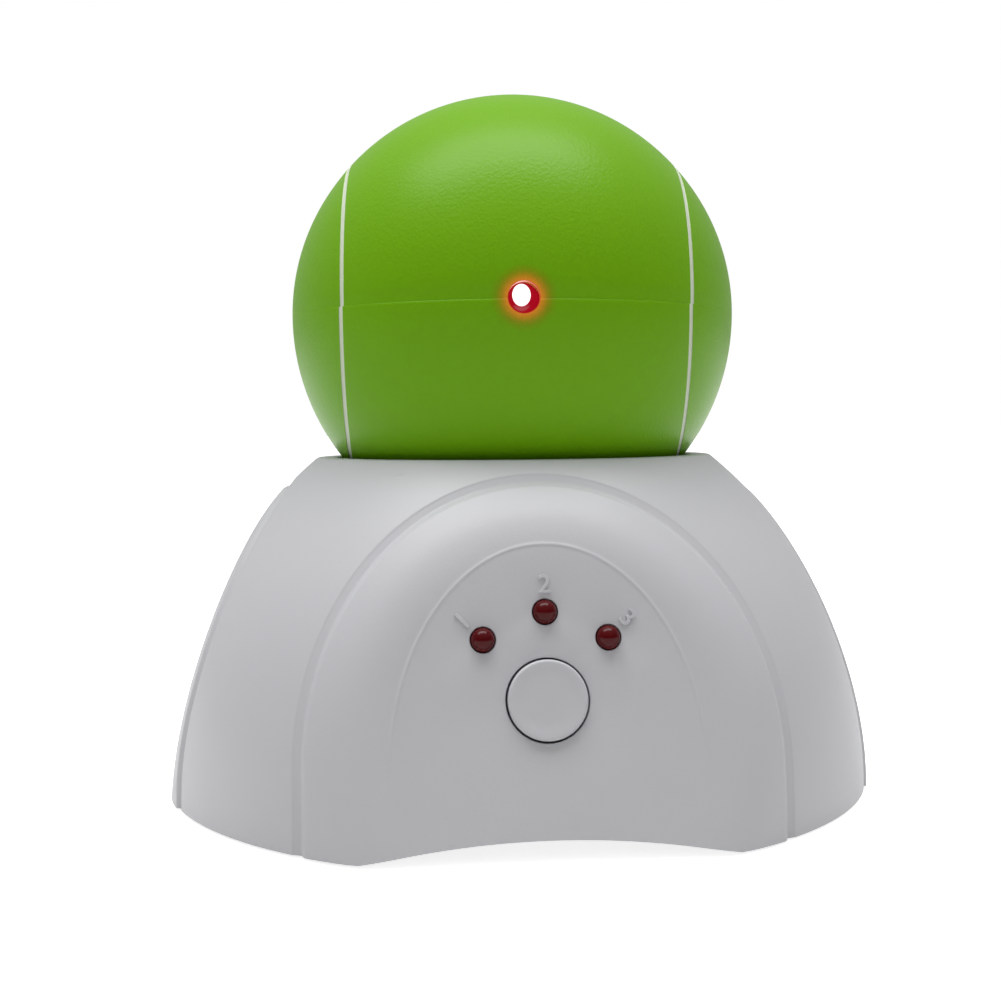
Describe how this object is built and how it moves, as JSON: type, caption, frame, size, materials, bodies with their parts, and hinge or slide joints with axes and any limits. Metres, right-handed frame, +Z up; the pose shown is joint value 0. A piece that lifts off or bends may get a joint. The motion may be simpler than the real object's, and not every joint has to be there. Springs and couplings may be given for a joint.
{
  "type": "automatic cat laser toy",
  "caption": "Automatic cat laser toy: a green ball head with a laser aperture turns on a white domed base with arched panels, indicator lamps and a mode button.",
  "frame": {"origin": "centre of the bounding box's bottom face, on the floor under the middle of the base", "axes": "+Z up along the head's turning axis, -Y towards the front panel with the button, +X towards the right side of the toy as seen from the front"},
  "size_m": [0.1006, 0.0932, 0.1001],
  "materials": {
    "shell_white": "satin moulded",
    "cover_white": "fine texture",
    "button_white": "satin moulded",
    "head_green": "satin, fine grain",
    "lamp_red": "clear tinted",
    "foot_rubber": "matte",
    "cell_jacket": "printed foil jacket",
    "board_green": "solder mask",
    "chip_black": "matte",
    "frame_grey": "moulded",
    "gear_white": "acetal, satin",
    "brass_bright": "machined",
    "bright_steel": "zinc plated",
    "lens_clear": "clear"
  },
  "bodies": {
    "base": {"base_shell": "shell_white", "bottom_cover": "cover_white", "battery_door": "cover_white", "battery_door_screw": "bright_steel", "cover_screws": "bright_steel", "rubber_feet": "foot_rubber", "battery_cells": "cell_jacket", "contact_springs": "bright_steel", "contact_plates": "bright_steel", "circuit_board": "board_green", "board_screws": "bright_steel", "control_chip": "chip_black", "tact_switch_body": "chip_black", "led_left": "lamp_red", "led_middle": "lamp_red", "led_right": "lamp_red", "led_leads": "bright_steel", "chassis_plate": "frame_grey", "chassis_screws": "bright_steel", "bearing_bridge": "frame_grey", "bridge_screws": "bright_steel", "lower_bushing": "brass_bright", "upper_bushing": "brass_bright", "brush_block": "chip_black", "brush_leaves": "brass_bright", "motor_can": "bright_steel", "motor_end_cap": "chip_black", "gearbox_case": "frame_grey", "motor_screws": "bright_steel"},
    "pinion": {"output_shaft": "bright_steel", "drive_pinion": "brass_bright"},
    "head": {"drive_shaft": "bright_steel", "shaft_clip": "bright_steel", "slip_ring_hub": "chip_black", "slip_rings": "brass_bright", "drive_gear": "gear_white", "turntable": "gear_white", "turntable_screws": "bright_steel", "head_lower_shell": "head_green", "head_upper_shell": "head_green", "head_screws": "bright_steel", "laser_housing": "brass_bright", "laser_lens": "lens_clear", "laser_diode": "bright_steel", "laser_board": "board_green", "laser_clamp": "frame_grey", "clamp_screws": "bright_steel"},
    "button": {"mode_button": "button_white", "switch_plunger": "chip_black"}
  },
  "joints": [
    {"name": "head_turn", "type": "hinge", "parent": "base", "child": "head", "pos_m": [0, 0, 0.0676], "axis": [0, 0, 1], "continuous": true},
    {"name": "pinion_spin", "type": "hinge", "parent": "base", "child": "pinion", "pos_m": [0, -0.0171, 0.0343], "axis": [0, 0, 1], "continuous": true},
    {"name": "button_press", "type": "slide", "parent": "base", "child": "button", "axis": [0, 0.9746, -0.2241], "range_m": [0, 0.0005], "stiffness_N_per_m": 500, "springref_m": -0.001}
  ],
  "couplings": [
    {"joint": "pinion_spin", "follows": "head_turn", "ratio": -3.8571}
  ]
}
